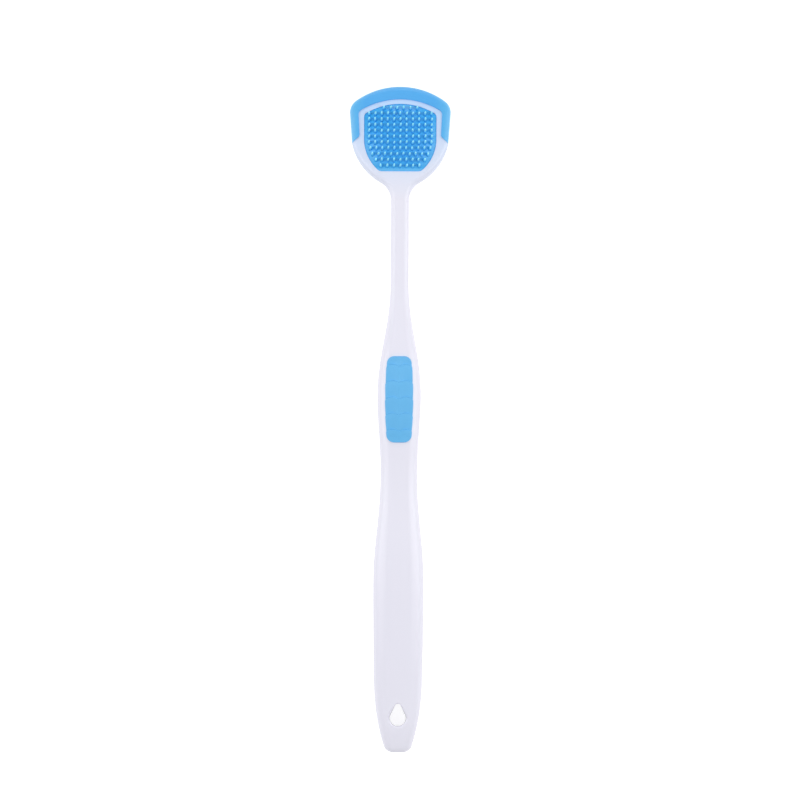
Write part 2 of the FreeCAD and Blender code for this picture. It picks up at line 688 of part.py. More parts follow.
nub_pad = doc.addObject("Part::MultiFuse", "nub_pad")
nub_pad.Shapes = [pad_plate] + nub_rows
doc.recompute()


# Thumb grip: a soft barrel-shaped inlay whose face is a row of overlapping scales
grip_blank = new_body("grip_blank")
blank_sketch = new_sketch(grip_blank, "grip_outline", "XY_Plane", along=GRIP_FLOOR)
grip_outline(blank_sketch, "0")
blank = extrude(grip_blank, "Pad", "blank", blank_sketch, GRIP_HEIGHT)
mirror(grip_blank, "whole_blank", [blank])
fillet(grip_blank, "grip_edges", "sizes.grip_edge_round",
       lambda edge: is_level(edge, value(GRIP_CREST)))

# The upper edge of a scale is two arcs side by side, from the middle out to beyond the grip's sides
scale_sketch = doc.addObject("Sketcher::SketchObject", "scale_outline")
SCALE_HALF = "(sizes.grip_width / 2 + sizes.ridge_overhang)"
SCALE_LENGTH = "2 * sizes.ridge_pitch"
CHORD = f"sqrt({SCALE_HALF} ^ 2 + sizes.ridge_fall ^ 2)"
ARCH_RADIUS = f"(({CHORD}) ^ 2 / 4 + sizes.ridge_rise ^ 2) / (2 * sizes.ridge_rise)"
scale_half = value(SCALE_HALF)
fall = value("sizes.ridge_fall")
length = value(SCALE_LENGTH)
arch_r = value(ARCH_RADIUS)
depth = arch_r - value("sizes.ridge_rise")
tilt = math.atan2(fall, scale_half)
centre = (scale_half / 2 - depth * math.sin(tilt), -fall / 2 - depth * math.cos(tilt))
first = math.atan2(-fall - centre[1], scale_half - centre[0])
last = math.atan2(-centre[1], -centre[0])
right_arch = arc(scale_sketch, centre, arch_r, first, last)
left_arch = arc(scale_sketch, (-centre[0], centre[1]), arch_r, math.pi - last, math.pi - first)
left_line = line(scale_sketch, (-scale_half, -fall), (-scale_half, -length))
low_line = line(scale_sketch, (-scale_half, -length), (scale_half, -length))
right_line = line(scale_sketch, (scale_half, -length), (scale_half, -fall))
outline = [right_arch, left_arch, left_line, low_line, right_line]
for one, two in zip(outline, outline[1:] + outline[:1]):
    relate(scale_sketch, "Coincident", one, END, two, START)
relate(scale_sketch, "Coincident", right_arch, END, ORIGIN, START)
relate(scale_sketch, "Vertical", left_line)
relate(scale_sketch, "Vertical", right_line)
relate(scale_sketch, "Horizontal", low_line)
relate(scale_sketch, "Symmetric", left_line, START, right_line, END, V_AXIS)
relate(scale_sketch, "Equal", right_arch, left_arch)
place_x(scale_sketch, SCALE_HALF, right_line, END)
measure(scale_sketch, "DistanceY", "sizes.ridge_fall", right_line, END, ORIGIN, START)
measure(scale_sketch, "DistanceY", SCALE_LENGTH, right_line, START, ORIGIN, START)
measure(scale_sketch, "Radius", ARCH_RADIUS, right_arch)
doc.recompute()

# Each scale slopes down from its upper edge, under the edge of the next one
SLOPE = "atan(sizes.ridge_step / sizes.ridge_pitch)"
scales = []
ridge_count = math.floor(value("(sizes.grip_length - sizes.ridge_first) / sizes.ridge_pitch")) + 1
for row in range(-1, ridge_count):
    ridge_y = f"{GRIP_TOP} - sizes.ridge_first - {row} * sizes.ridge_pitch"
    prism = doc.addObject("Part::Extrusion", f"scale_prism_{row + 1}")
    prism.Base = scale_sketch
    prism.DirMode = "Normal"
    prism.Solid = True
    prism.setExpression("LengthFwd", f"2 * {GRIP_CREST}")
    prism.setExpression("Placement.Base.y", ridge_y)
    crown = doc.addObject("Part::Cylinder", f"scale_crown_{row + 1}")
    crown.setExpression("Radius", "sizes.grip_crown")
    crown.setExpression("Height", "4 * sizes.ridge_pitch")
    crown.Placement.Rotation = FreeCAD.Rotation(FreeCAD.Vector(1, 0, 0), 90)
    crown.setExpression("Placement.Rotation.Angle", f"90 deg + {SLOPE}")
    crown.setExpression("Placement.Base.y", f"{ridge_y} + sizes.ridge_pitch")
    crown.setExpression("Placement.Base.z", f"{GRIP_CREST} - sizes.grip_crown + sizes.ridge_step")
    scale = doc.addObject("Part::MultiCommon", f"scale_{row + 1}")
    scale.Shapes = [prism, crown]
    scales.append(scale)
all_scales = doc.addObject("Part::MultiFuse", "scales")
all_scales.Shapes = scales
thumb_grip = doc.addObject("Part::MultiCommon", "thumb_grip")
thumb_grip.Shapes = [all_scales, grip_blank]
doc.recompute()


# Every object must have computed, and every piece must be one sound solid, before anything is written
failed = [item.Name for item in doc.Objects if "Invalid" in item.State or "Error" in item.State]
if failed:
    raise RuntimeError(f"not computed: {failed}")
os.makedirs("parts", exist_ok=True)
pieces = [handle, scraper_lip, nub_pad, thumb_grip]
for piece in pieces:
    if piece.Shape.isNull() or not piece.Shape.isValid() or len(piece.Shape.Solids) != 1:
        raise RuntimeError(f"{piece.Label} is not one sound solid")
for piece in pieces:
    piece.Shape.exportStep(f"parts/{piece.Label}.step")
    print(piece.Label, round(piece.Shape.Volume, 1), piece.Shape.optimalBoundingBox(False, False))
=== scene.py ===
import json
import math

import bmesh
import bpy
import numpy as np
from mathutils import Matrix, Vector

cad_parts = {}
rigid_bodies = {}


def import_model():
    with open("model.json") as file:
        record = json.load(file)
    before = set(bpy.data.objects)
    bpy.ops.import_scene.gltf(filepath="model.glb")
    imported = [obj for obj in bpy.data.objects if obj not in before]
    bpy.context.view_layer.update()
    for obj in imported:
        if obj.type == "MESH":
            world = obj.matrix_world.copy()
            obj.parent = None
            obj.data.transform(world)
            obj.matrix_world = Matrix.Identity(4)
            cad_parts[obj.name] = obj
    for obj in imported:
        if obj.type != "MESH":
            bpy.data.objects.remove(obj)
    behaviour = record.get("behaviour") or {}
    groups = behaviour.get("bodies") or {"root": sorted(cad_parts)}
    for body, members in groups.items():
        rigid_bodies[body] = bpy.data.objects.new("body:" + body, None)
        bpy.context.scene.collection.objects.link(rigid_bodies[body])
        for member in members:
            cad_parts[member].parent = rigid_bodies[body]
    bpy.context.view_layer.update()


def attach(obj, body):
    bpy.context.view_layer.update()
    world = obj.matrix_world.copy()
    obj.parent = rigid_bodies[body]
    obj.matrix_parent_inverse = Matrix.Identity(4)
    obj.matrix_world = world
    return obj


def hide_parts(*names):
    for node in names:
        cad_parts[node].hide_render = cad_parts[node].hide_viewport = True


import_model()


# Handle: the white core of the tool, one glossy polypropylene moulding from the tail with its drop-shaped
# hanging hole through flat palm, waist, thumb swell and thin neck to the head plate. The soft pieces are
# moulded into its recesses and round its rim. All sizes are in millimetres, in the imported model's frame.
MM = 0.001
TAIL = -92.5
NECK_HALF = 2.5
PLATE_FRONT = 6.0
PLATE_BACK = 2.0
PLATE_ROUND = 1.5
CROWN_RADIUS = 24.0
LAST_CROWNED = 118.5
GRASP_LENGTH = 131.0
# Cross-sections up the handle: distance from the tail, half width, front, back and edge radius
SECTIONS = np.array([
    (0.0, 3.35, 6.10, 1.00, 2.2),
    (4.5, 4.65, 7.00, -0.15, 2.6),
    (13.5, 6.285, 7.60, -0.35, 3.1),
    (22.5, 6.75, 7.95, -0.35, 3.2),
    (39.0, 6.93, 8.20, -0.30, 3.3),
    (54.7, 6.70, 8.10, -0.30, 3.3),
    (61.5, 6.05, 7.70, -0.25, 3.1),
    (76.5, 5.07, 7.50, -0.20, 2.9),
    (88.5, 5.525, 8.45, -0.25, 3.0),
    (98.15, 6.03, 8.70, -0.25, 3.2),
    (110.0, 5.075, 8.20, 0.10, 2.9),
    (LAST_CROWNED, 3.55, 7.05, 1.20, 2.2),
    (GRASP_LENGTH, NECK_HALF, PLATE_FRONT, PLATE_BACK, PLATE_ROUND),
])


def spline_slopes(places, values):
    """Slopes of the cubic curve through the values that ends level at the neck and free at the tail."""
    count = len(places)
    spans = np.diff(places)
    rises = np.diff(values, axis=0) / spans[:, None]
    matrix = np.zeros((count, count))
    right = np.zeros(values.shape)
    matrix[0, :2] = 2, 1
    right[0] = 3 * rises[0]
    for i in range(1, count - 1):
        matrix[i, i - 1:i + 2] = spans[i], 2 * (spans[i - 1] + spans[i]), spans[i - 1]
        right[i] = 3 * (spans[i] * rises[i - 1] + spans[i - 1] * rises[i])
    matrix[-1, -1] = 1
    return np.linalg.solve(matrix, right)


SECTION_SLOPES = spline_slopes(SECTIONS[:, 0], SECTIONS[:, 1:])


def grasp_section(along):
    """Half width, front, back and edge radius of the handle at a distance from the tail."""
    i = min(max(np.searchsorted(SECTIONS[:, 0], along) - 1, 0), len(SECTIONS) - 2)
    span = SECTIONS[i + 1, 0] - SECTIONS[i, 0]
    t = (along - SECTIONS[i, 0]) / span
    near, far = SECTIONS[i, 1:], SECTIONS[i + 1, 1:]
    near_slope, far_slope = SECTION_SLOPES[i], SECTION_SLOPES[i + 1]
    return ((2 * t ** 3 - 3 * t ** 2 + 1) * near + (t ** 3 - 2 * t ** 2 + t) * span * near_slope
            + (3 * t ** 2 - 2 * t ** 3) * far + (t ** 3 - t ** 2) * span * far_slope)


# The palm is flatter in the middle than the thumb swell, and falls away more at two soft shoulders
PALM_RADIUS = 60.0
PALM_SLOPE = 0.2
PALM_END = 72.0
PALM_FADE = 12.0
SHOULDER_START = 0.42
SHOULDER_WIDTH = 0.16


def ease(share):
    """A soft step from 0 to 1."""
    share = min(max(share, 0.0), 1.0)
    return share * share * (3 - 2 * share)


def crown(along, half, x):
    """How far the front has fallen at a distance from the middle of a cross-section, and its slope there."""
    fade = ease((GRASP_LENGTH - along) / (GRASP_LENGTH - LAST_CROWNED))
    palm = 1 - ease((along - PALM_END) / PALM_FADE)
    bend = fade * ((1 - palm) / CROWN_RADIUS + palm / PALM_RADIUS)
    start, width = SHOULDER_START * half, SHOULDER_WIDTH * half
    share = min(max((x - start) / width, 0.0), 1.0)
    past = max(x - start - width, 0.0)
    shoulder = width * (share ** 3 - share ** 4 / 2) + past
    return bend * x * x / 2 + palm * PALM_SLOPE * shoulder, bend * x + palm * PALM_SLOPE * ease(share)


def unit(way):
    """A direction, made 1 long."""
    return way / np.hypot(*way)


# Outline of the head plate: neck, hollow flare, shield and, hidden under the lip, the rim inside it
FLARE_CENTRE = np.array((8.2, 61.05))
FLARE_RADIUS = 5.7
SHIELD_RADIUS = 16.2
LIP_FOOT = np.array((13.35, 76.65))
# The plate keeps its shape a little way in under the lip's slanted feet, just inside the lip's own outline
STUB_LENGTH = 2.2
STUB_SLANT = 0.087
STUB_CLEAR = 0.12
STUB_EASE = 0.25
RIM_HALF = 12.3
RIM_TOP = 89.53
RIM_RADIUS = 22.0
RIM_ROUND = 0.2
to_flare = FLARE_CENTRE - LIP_FOOT
gap = np.hypot(*to_flare)
along_gap = (SHIELD_RADIUS ** 2 - (SHIELD_RADIUS + FLARE_RADIUS) ** 2 + gap ** 2) / (2 * gap)
across_gap = math.sqrt(SHIELD_RADIUS ** 2 - along_gap ** 2)
shield_centre = (LIP_FOOT + to_flare / gap * along_gap
                 + np.array((to_flare[1], -to_flare[0])) / gap * across_gap)
shield_to_flare = unit(FLARE_CENTRE - shield_centre)


def plate_half(y, inset):
    """Half width of the neck and head plate at a height, inside the outline by an inset."""
    touch = shield_centre[1] + (SHIELD_RADIUS - inset) * shield_to_flare[1]
    if y <= FLARE_CENTRE[1]:
        return NECK_HALF - inset
    if y <= touch:
        return FLARE_CENTRE[0] - math.sqrt((FLARE_RADIUS + inset) ** 2 - (y - FLARE_CENTRE[1]) ** 2)
    if y <= LIP_FOOT[1]:
        return shield_centre[0] + math.sqrt((SHIELD_RADIUS - inset) ** 2 - (y - shield_centre[1]) ** 2)
    under_lip = y - LIP_FOOT[1]
    if under_lip <= STUB_LENGTH:
        return LIP_FOOT[0] + STUB_SLANT * under_lip - STUB_CLEAR * min(under_lip / STUB_EASE, 1) - inset
    under_top = math.sqrt(RIM_RADIUS ** 2 - (y - RIM_TOP + RIM_RADIUS) ** 2)
    return min(under_top, RIM_HALF) - min(inset, RIM_ROUND)


# The tail's end is rounded over, and towards the lip's feet the plate's edge gets sharper, to end flush
END_ROUND = 1.7
END_EDGE = 0.8
FOOT_EDGE = 1.1
FOOT_REACH = 4.0
LEAN_TRIES = 8
FRONT_COLUMNS = 16
EDGE_COLUMNS = 10


def section_loop(along):
    """Points of a cross-section, from the middle of the front round its right and then its left side."""
    y = TAIL + along
    if along < GRASP_LENGTH:
        half, front, back, edge = grasp_section(along)
        end = END_ROUND - math.sqrt(max(END_ROUND ** 2 - max(END_ROUND - along, 0) ** 2, 0))
        half, front, back, edge = half - end, front - end, back + end, edge - END_EDGE * end
        # The rounded edge starts where the front has its lean, so the place and the lean are found in turn
        flat_end = half - edge
        for _ in range(LEAN_TRIES):
            lean = math.atan(crown(along, half, flat_end)[1])
            flat_end = half - edge + edge * math.sin(lean)
        drop = crown(along, half, flat_end)[0] + edge * math.cos(lean)
        profile = [(x, crown(along, half, x)[0]) for x in np.linspace(0, flat_end, FRONT_COLUMNS)]
    else:
        front, back, lean = PLATE_FRONT, PLATE_BACK, 0
        edge = PLATE_ROUND + (FOOT_EDGE - PLATE_ROUND) * ease(1 - (LIP_FOOT[1] - y) / FOOT_REACH)
        half, drop = plate_half(y, 0), edge
        profile = [(x, 0) for x in np.linspace(0, plate_half(y, edge), FRONT_COLUMNS)]
    for turn in np.linspace(math.pi / 2 - lean, 0, EDGE_COLUMNS)[1:]:
        inset = edge * (1 - math.cos(turn))
        x = half - inset if along < GRASP_LENGTH else plate_half(y, inset)
        profile.append((x, drop - edge * math.sin(turn)))
    middle = (front + back) / 2
    right = [(x, y, front - sink) for x, sink in profile] + [(profile[-1][0], y, middle)]
    right += [(x, y, max(back + sink, 0)) for x, sink in reversed(profile)]
    return right + [(-x, y, z) for x, y, z in reversed(right[1:-1])]


# Stations of the cross-sections, closest together at the tail's end, the flare and the lip's feet
END_STATIONS = 9
STATION_RUNS = ((2.6, 153.5, 1.1), (153.55, 161.0, 0.3), (161.0, 169.0, 0.5))
FOOT_STATIONS = [169.15, 169.4, 170.2, 171.2, 171.7, 172.2, 175.0, 178.0]
RIM_TURNS = np.linspace(0.5, 0.02, 12)
stations = [END_ROUND * (1 - math.cos(turn)) for turn in np.linspace(0, math.pi / 2, END_STATIONS)]
for start, end, step in STATION_RUNS:
    stations += list(np.arange(start, end, step))
stations += FOOT_STATIONS
stations += [RIM_TOP - TAIL - RIM_RADIUS * (1 - math.cos(turn)) for turn in RIM_TURNS]


def placed(name, data):
    """A new object at the origin that shows a mesh, lamp or camera."""
    thing = bpy.data.objects.new(name, data)
    bpy.context.collection.objects.link(thing)
    return thing


def shell_object(name, loops):
    """A closed shell through loops of points, given in millimetres, with a cap at each end."""
    rows, columns = len(loops), len(loops[0])
    points = [tuple(c * MM for c in point) for loop in loops for point in loop]
    faces = []
    for row in range(rows - 1):
        for column in range(columns):
            after = (column + 1) % columns
            faces.append((row * columns + column, row * columns + after,
                          (row + 1) * columns + after, (row + 1) * columns + column))
    faces.append(tuple(reversed(range(columns))))
    faces.append(tuple(range((rows - 1) * columns, rows * columns)))
    mesh = bpy.data.meshes.new(name)
    mesh.from_pydata(points, [], faces)
    shell = bmesh.new()
    shell.from_mesh(mesh)
    bmesh.ops.recalc_face_normals(shell, faces=shell.faces)
    shell.to_mesh(mesh)
    shell.free()
    return placed(name, mesh)


def smooth(piece, angle):
    """Smooth shading, with the edges that turn by more than an angle in degrees kept sharp."""
    piece.data.shade_smooth()
    piece.data.set_sharp_from_angle(angle=math.radians(angle))


handle = shell_object("handle_moulding", [section_loop(along) for along in stations])


def arc(centre, radius, start, end, count):
    """Points on an arc between two angles in radians, the last one left out."""
    turns = np.linspace(start, end, count, endpoint=False)
    return [(centre[0] + radius * math.cos(turn), centre[1] + radius * math.sin(turn)) for turn in turns]


# Recess of the nub pad in the front of the head: arched top, straight sides, round cheeks, level foot
PAD_HALF = 9.98
PAD_APEX = 87.45
PAD_RADIUS = 18.6
PAD_CORNER = 1.2
PAD_SHOULDER = 77.75
PAD_FOOT = 68.85
PAD_CHEEK_RADIUS = 11.394
PAD_FOOT_ROUND = 2.0
PAD_FLOOR = 4.7
# Points on the arcs of the pad's foot, cheek, corner and top
PAD_COUNTS = (6, 18, 6, 20)


def pad_outline(grow):
    """The pad's outline, larger by a margin all round."""
    middle_y = PAD_APEX - PAD_RADIUS
    corner_x = PAD_HALF - PAD_CORNER
    corner_y = middle_y + math.sqrt((PAD_RADIUS - PAD_CORNER) ** 2 - corner_x ** 2)
    turn = math.atan2(corner_y - middle_y, corner_x)
    cheek_x = PAD_HALF - PAD_CHEEK_RADIUS
    foot_y = PAD_FOOT + PAD_FOOT_ROUND
    foot_x = cheek_x + math.sqrt((PAD_CHEEK_RADIUS - PAD_FOOT_ROUND) ** 2 - (foot_y - PAD_SHOULDER) ** 2)
    low = math.atan2(foot_y - PAD_SHOULDER, foot_x - cheek_x)
    on_foot, on_cheek, on_corner, on_top = PAD_COUNTS
    right = arc((foot_x, foot_y), PAD_FOOT_ROUND + grow, -math.pi / 2, low, on_foot)
    right += arc((cheek_x, PAD_SHOULDER), PAD_CHEEK_RADIUS + grow, low, 0, on_cheek)
    right += arc((corner_x, corner_y), PAD_CORNER + grow, 0, turn, on_corner)
    right += arc((0, middle_y), PAD_RADIUS + grow, turn, math.pi / 2, on_top)
    return right + [(0, PAD_APEX + grow)] + [(-x, y) for x, y in reversed(right)]


BOND_GAP = 0.05
CUT_PAST = 1.0
outline = pad_outline(BOND_GAP)
pad_cutter = shell_object("pad_cutter", [[(x, y, z) for x, y in outline]
                                         for z in (PAD_FLOOR, PLATE_FRONT + CUT_PAST)])

# Hanging hole: a drop-shaped bore whose two rims are rolled over to the crowned front and the flat back.
# It is narrowest at half its depth, and its round end slopes towards the tail at the back.
HOLE_Y = -82.35
HOLE_RADIUS = 2.4
HOLE_ROUND = 0.5
HOLE_WAIST = 0.25
HOLE_DRAFT = 1.7
HOLE_ROLLS = 7
TIP_Y = -79.3
TIP_RADIUS = 0.85
TIP_POINTS = 8
FLANK_POINTS = 4
ROUND_POINTS = 24


def hole_outline(grow, slide):
    """The drop's outline, larger by a margin all round, with its round end slid towards the tail."""
    round_y = HOLE_Y - slide
    turn = math.asin((HOLE_RADIUS - TIP_RADIUS) / (TIP_Y - round_y))
    tip = arc((0, TIP_Y), TIP_RADIUS + grow, turn, math.pi / 2, TIP_POINTS)
    half_round = arc((0, round_y), HOLE_RADIUS + grow, -math.pi / 2, turn, ROUND_POINTS)
    start = np.array((math.cos(turn), math.sin(turn))) * (HOLE_RADIUS + grow) + (0, round_y)
    flank = [tuple(start + (np.array(tip[0]) - start) * t) for t in np.arange(FLANK_POINTS) / FLANK_POINTS]
    right = half_round + flank + tip
    return right + [(0, TIP_Y + TIP_RADIUS + grow)] + [(-x, y) for x, y in reversed(right[1:])]


def front_of(x, y):
    """Height of the crowned front of the handle."""
    half, front = grasp_section(y - TAIL)[:2]
    return front - crown(y - TAIL, half, abs(x))[0]


rolls = [(HOLE_ROUND * (1 - math.cos(roll)), HOLE_ROUND * (1 - math.sin(roll)))
         for roll in np.linspace(math.pi / 2, 0, HOLE_ROLLS)]
rings = [[(x, y, depth if depth else -CUT_PAST) for x, y in hole_outline(grow, HOLE_DRAFT)]
         for grow, depth in rolls]
rings.append([(x, y, front_of(x, y) / 2) for x, y in hole_outline(-HOLE_WAIST, HOLE_DRAFT / 2)])
rings += [[(x, y, front_of(x, y) + (-depth if depth else CUT_PAST)) for x, y in hole_outline(grow, 0)]
          for grow, depth in reversed(rolls)]
hole_cutter = shell_object("hole_cutter", rings)


def applied(piece):
    """Replaces a piece's mesh by the result of its modifiers."""
    evaluated = piece.evaluated_get(bpy.context.evaluated_depsgraph_get())
    mesh = bpy.data.meshes.new_from_object(evaluated)
    mesh.name = piece.data.name
    piece.modifiers.clear()
    piece.data = mesh


for cutter in (pad_cutter, hole_cutter):
    cut = handle.modifiers.new(cutter.name, "BOOLEAN")
    cut.operation = "DIFFERENCE"
    cut.solver = "EXACT"
    cut.object = cutter
applied(handle)
for cutter in (pad_cutter, hole_cutter):
    bpy.data.objects.remove(cutter)
smooth(handle, angle=35)


def srgb(red, green, blue):
    """A colour from its screen values of 0 to 255."""
    shares = [value / 255 for value in (red, green, blue)]
    return tuple(s / 12.92 if s <= 0.04045 else ((s + 0.055) / 1.055) ** 2.4 for s in shares) + (1.0,)


class Finish:
    """A material under construction: its nodes, and short ways to add and join them."""

    def __init__(self, name, ior):
        self.material = bpy.data.materials.new(name)
        self.material.use_nodes = True
        self.nodes = self.material.node_tree.nodes
        self.links = self.material.node_tree.links
        self.shader = self.nodes["Principled BSDF"]
        self.shader.inputs["IOR"].default_value = ior
        self.place = self.nodes.new("ShaderNodeTexCoord").outputs["Object"]

    def axes(self):
        """The place on the piece, as its X, Y and Z."""
        node = self.nodes.new("ShaderNodeSeparateXYZ")
        self.links.new(self.place, node.inputs["Vector"])
        return node.outputs

    def calc(self, operation, *sockets):
        node = self.nodes.new("ShaderNodeMath")
        node.operation = operation
        for socket, value in zip(node.inputs, sockets):
            self.links.new(value, socket)
        return node.outputs["Value"]

    def noise(self, scale, detail=2.0):
        node = self.nodes.new("ShaderNodeTexNoise")
        node.inputs["Scale"].default_value = scale
        node.inputs["Detail"].default_value = detail
        self.links.new(self.place, node.inputs["Vector"])
        return node.outputs["Fac"]

    def spread(self, socket, low, high, from_low=0.3, from_high=0.7):
        node = self.nodes.new("ShaderNodeMapRange")
        for name, value in (("From Min", from_low), ("From Max", from_high), ("To Min", low), ("To Max", high)):
            node.inputs[name].default_value = value
        self.links.new(socket, node.inputs["Value"])
        return node.outputs["Result"]

    def between(self, socket, start, end):
        """A share that goes from 0 to 1 between two lengths in millimetres."""
        return self.spread(socket, 0, 1, from_low=start * MM, from_high=end * MM)

    def blend(self, share, first, second):
        node = self.nodes.new("ShaderNodeMix")
        node.data_type = "RGBA"
        self.links.new(share, node.inputs["Factor"])
        # The mix node's sockets share their names, and those for colours are at these places
        first_socket, second_socket, mixed = node.inputs[6], node.inputs[7], node.outputs[2]
        for socket, colour in ((first_socket, first), (second_socket, second)):
            if isinstance(colour, tuple):
                socket.default_value = colour
            else:
                self.links.new(colour, socket)
        return mixed

    def feed(self, name, socket):
        self.links.new(socket, self.shader.inputs[name])

    def grain(self, height, strength, depth):
        bump = self.nodes.new("ShaderNodeBump")
        bump.inputs["Strength"].default_value = strength
        bump.inputs["Distance"].default_value = depth * MM
        self.links.new(height, bump.inputs["Height"])
        self.links.new(bump.outputs["Normal"], self.shader.inputs["Normal"])


# Towards the head the white is tinted with the pad's blue: a painted reflection of the blue light that the pad
# bounces onto it.
# Inside the hanging hole, round its middle and below the front, the white is painted paler: painted light,
# standing in for light that comes through the thin wall round the hole.
BLUISH_FROM = 61.0
BLUISH_TO = 88.0
PALE_MIDDLE = (0, -81.5 * MM, 0)
PALE_REACH = (4.0, 3.4)
PALE_BELOW = (6.9, 6.3)
white = Finish("white_polypropylene", ior=1.49)
clouds = white.spread(white.noise(scale=24.0, detail=0.0), 0, 1, from_low=0.2, from_high=0.8)
body_white = white.blend(clouds, srgb(233, 232, 245), srgb(236, 235, 247))
at = white.axes()
# Painted reflection: the share by which the white is tinted with the pad's bounced blue
painted_pad_bounce = white.between(at["Y"], BLUISH_FROM, BLUISH_TO)
white_with_painted_bounce = white.blend(painted_pad_bounce, body_white, srgb(196, 221, 253))
flat_place = white.nodes.new("ShaderNodeCombineXYZ")
for axis in ("X", "Y"):
    white.links.new(at[axis], flat_place.inputs[axis])
from_hole = white.nodes.new("ShaderNodeVectorMath")
from_hole.operation = "DISTANCE"
from_hole.inputs[1].default_value = PALE_MIDDLE
white.links.new(flat_place.outputs["Vector"], from_hole.inputs[0])
# Painted light: the share by which the white inside the hole is painted paler
painted_hole_light = white.calc("MULTIPLY", white.between(from_hole.outputs["Value"], *PALE_REACH),
                     white.between(at["Z"], *PALE_BELOW))
white.feed("Base Color", white.blend(painted_hole_light, white_with_painted_bounce, srgb(252, 252, 255)))
white.feed("Roughness", white.spread(white.noise(scale=900.0, detail=0.0), 0.24, 0.27))
white.grain(white.noise(scale=2600.0), strength=0.05, depth=0.02)
handle.data.materials.clear()
handle.data.materials.append(white.material)
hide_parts("handle")
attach(handle, "root")


# Scraper lip: a soft blue elastomer edge moulded over the thin rim of the head plate, round its top and
# both sides. It is flat in front and behind, its outer edge is fully rounded, and its feet are cut aslant.
LIP_FRONT = 6.4
LIP_BACK = 1.6
LIP_ROUND = 1.7
LIP_BREAK = 0.2
BREAK_MIDDLE = 0.3
LIP_RADIUS = 21.2
LIP_TOP = 92.5
LIP_HALF = 14.0
LIP_CORNER = 4.0
OUTER_FOOT = (13.35, 76.7)
RIB_TOP = 88.73
RIB_HALF = 11.55
RIB_CORNER = 1.5
INNER_FOOT = (11.25, 78.5)
# Points along the lip's side, corner and top, and on its rounded edge
SIDE_POINTS = 14
CORNER_POINTS = 14
TOP_POINTS = 26
EDGE_POINTS = 9


def arch(apex, corner, half, foot):
    """Right half of an arch of the lip: a side from the foot, a corner and the top arc."""
    middle_y = apex - LIP_RADIUS
    corner_x = half - corner
    corner_y = middle_y + math.sqrt((LIP_RADIUS - corner) ** 2 - corner_x ** 2)
    turn = math.atan2(corner_y - middle_y, corner_x)
    steps = np.linspace(0, 1, SIDE_POINTS, endpoint=False)
    line = [(foot[0] + t * (half - foot[0]), foot[1] + t * (corner_y - foot[1])) for t in steps]
    line += arc((corner_x, corner_y), corner, 0, turn, CORNER_POINTS)
    return line + arc((0, middle_y), LIP_RADIUS, turn, math.pi / 2, TOP_POINTS) + [(0, apex)]


outer = arch(LIP_TOP, LIP_CORNER, LIP_HALF, OUTER_FOOT)
inner = arch(RIB_TOP, RIB_CORNER, RIB_HALF, INNER_FOOT)
# The inner corner of each foot is rounded off
FOOT_CUT = 0.5
FOOT_STEPS = 6
corner = np.array(inner[0])
foot_way = unit(np.array(outer[0]) - corner)
side_way = unit(np.array(inner[1]) - corner)
bend = [tuple(corner + FOOT_CUT * ((1 - t) ** 2 * foot_way + t ** 2 * side_way))
        for t in np.linspace(0, 1, FOOT_STEPS)]
side_end = np.array(inner[SIDE_POINTS])
rest = np.linspace(0, 1, SIDE_POINTS - FOOT_STEPS + 1, endpoint=False)[1:]
inner = bend + [tuple(np.array(bend[-1]) * (1 - t) + side_end * t) for t in rest] + inner[SIDE_POINTS:]
outer += [(-x, y) for x, y in reversed(outer[:-1])]
inner += [(-x, y) for x, y in reversed(inner[:-1])]
lip_loops = []
for i, (rim, root) in enumerate(zip(outer, inner)):
    rim, root = np.array(rim), np.array(root)
    run = np.array(outer[min(i + 1, len(outer) - 1)]) - np.array(outer[max(i - 1, 0)])
    width = abs(np.dot(rim - root, unit(np.array((run[1], -run[0])))))
    profile = [(width, LIP_BREAK), (width - BREAK_MIDDLE * LIP_BREAK, BREAK_MIDDLE * LIP_BREAK),
               (width - LIP_BREAK, 0.0)]
    profile += [(LIP_ROUND * (1 - math.sin(turn)), LIP_ROUND * (1 - math.cos(turn)))
                for turn in np.linspace(0, math.pi / 2, EDGE_POINTS)]
    loop = [(depth, LIP_FRONT - sink) for depth, sink in profile]
    loop += [(depth, LIP_BACK + sink) for depth, sink in reversed(profile)]
    lip_loops.append([(*(rim + (root - rim) * (depth / width)), z) for depth, z in loop])
lip = shell_object("scraper_lip_moulding", lip_loops)
smooth(lip, angle=40)

# Painted light: the lip is painted paler on its arms, by their distance from the middle, and on its thin edge,
# by its height, where the rounded sides catch light and reflect the white surround
ARMS_PALER = (9.5, 12.5)
EDGE_PALER = (6.3, 5.0)
lip_blue = Finish("blue_lip_elastomer", ior=1.48)
clouds = lip_blue.spread(lip_blue.noise(scale=70.0), 0, 1)
face_blue = lip_blue.blend(clouds, srgb(76, 170, 238), srgb(84, 175, 241))
at = lip_blue.axes()
# Painted light on the arms and on the thin edge
painted_arm_light = lip_blue.between(lip_blue.calc("ABSOLUTE", at["X"]), *ARMS_PALER)
blue_with_painted_arm_light = lip_blue.blend(painted_arm_light, face_blue, srgb(91, 182, 239))
painted_edge_light = lip_blue.between(at["Z"], *EDGE_PALER)
lip_blue.feed("Base Color", lip_blue.blend(painted_edge_light, blue_with_painted_arm_light, srgb(136, 205, 250)))
lip_blue.feed("Roughness", lip_blue.spread(lip_blue.noise(scale=300.0), 0.36, 0.46))
lip_blue.grain(lip_blue.noise(scale=3200.0), strength=0.08, depth=0.03)
lip.data.materials.append(lip_blue.material)
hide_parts("scraper_lip")
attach(lip, "root")


# Nub pad: a soft blue elastomer plate moulded into the recess of the head, with rows of tapered nubs that
# brush the tongue. The rows keep a set distance from the pad's outline. The nubs are oval and round-tipped,
# lean towards the head and are turned a little, each by its own amount.
PAD_TOP = 5.85
PAD_BREAK = 0.06
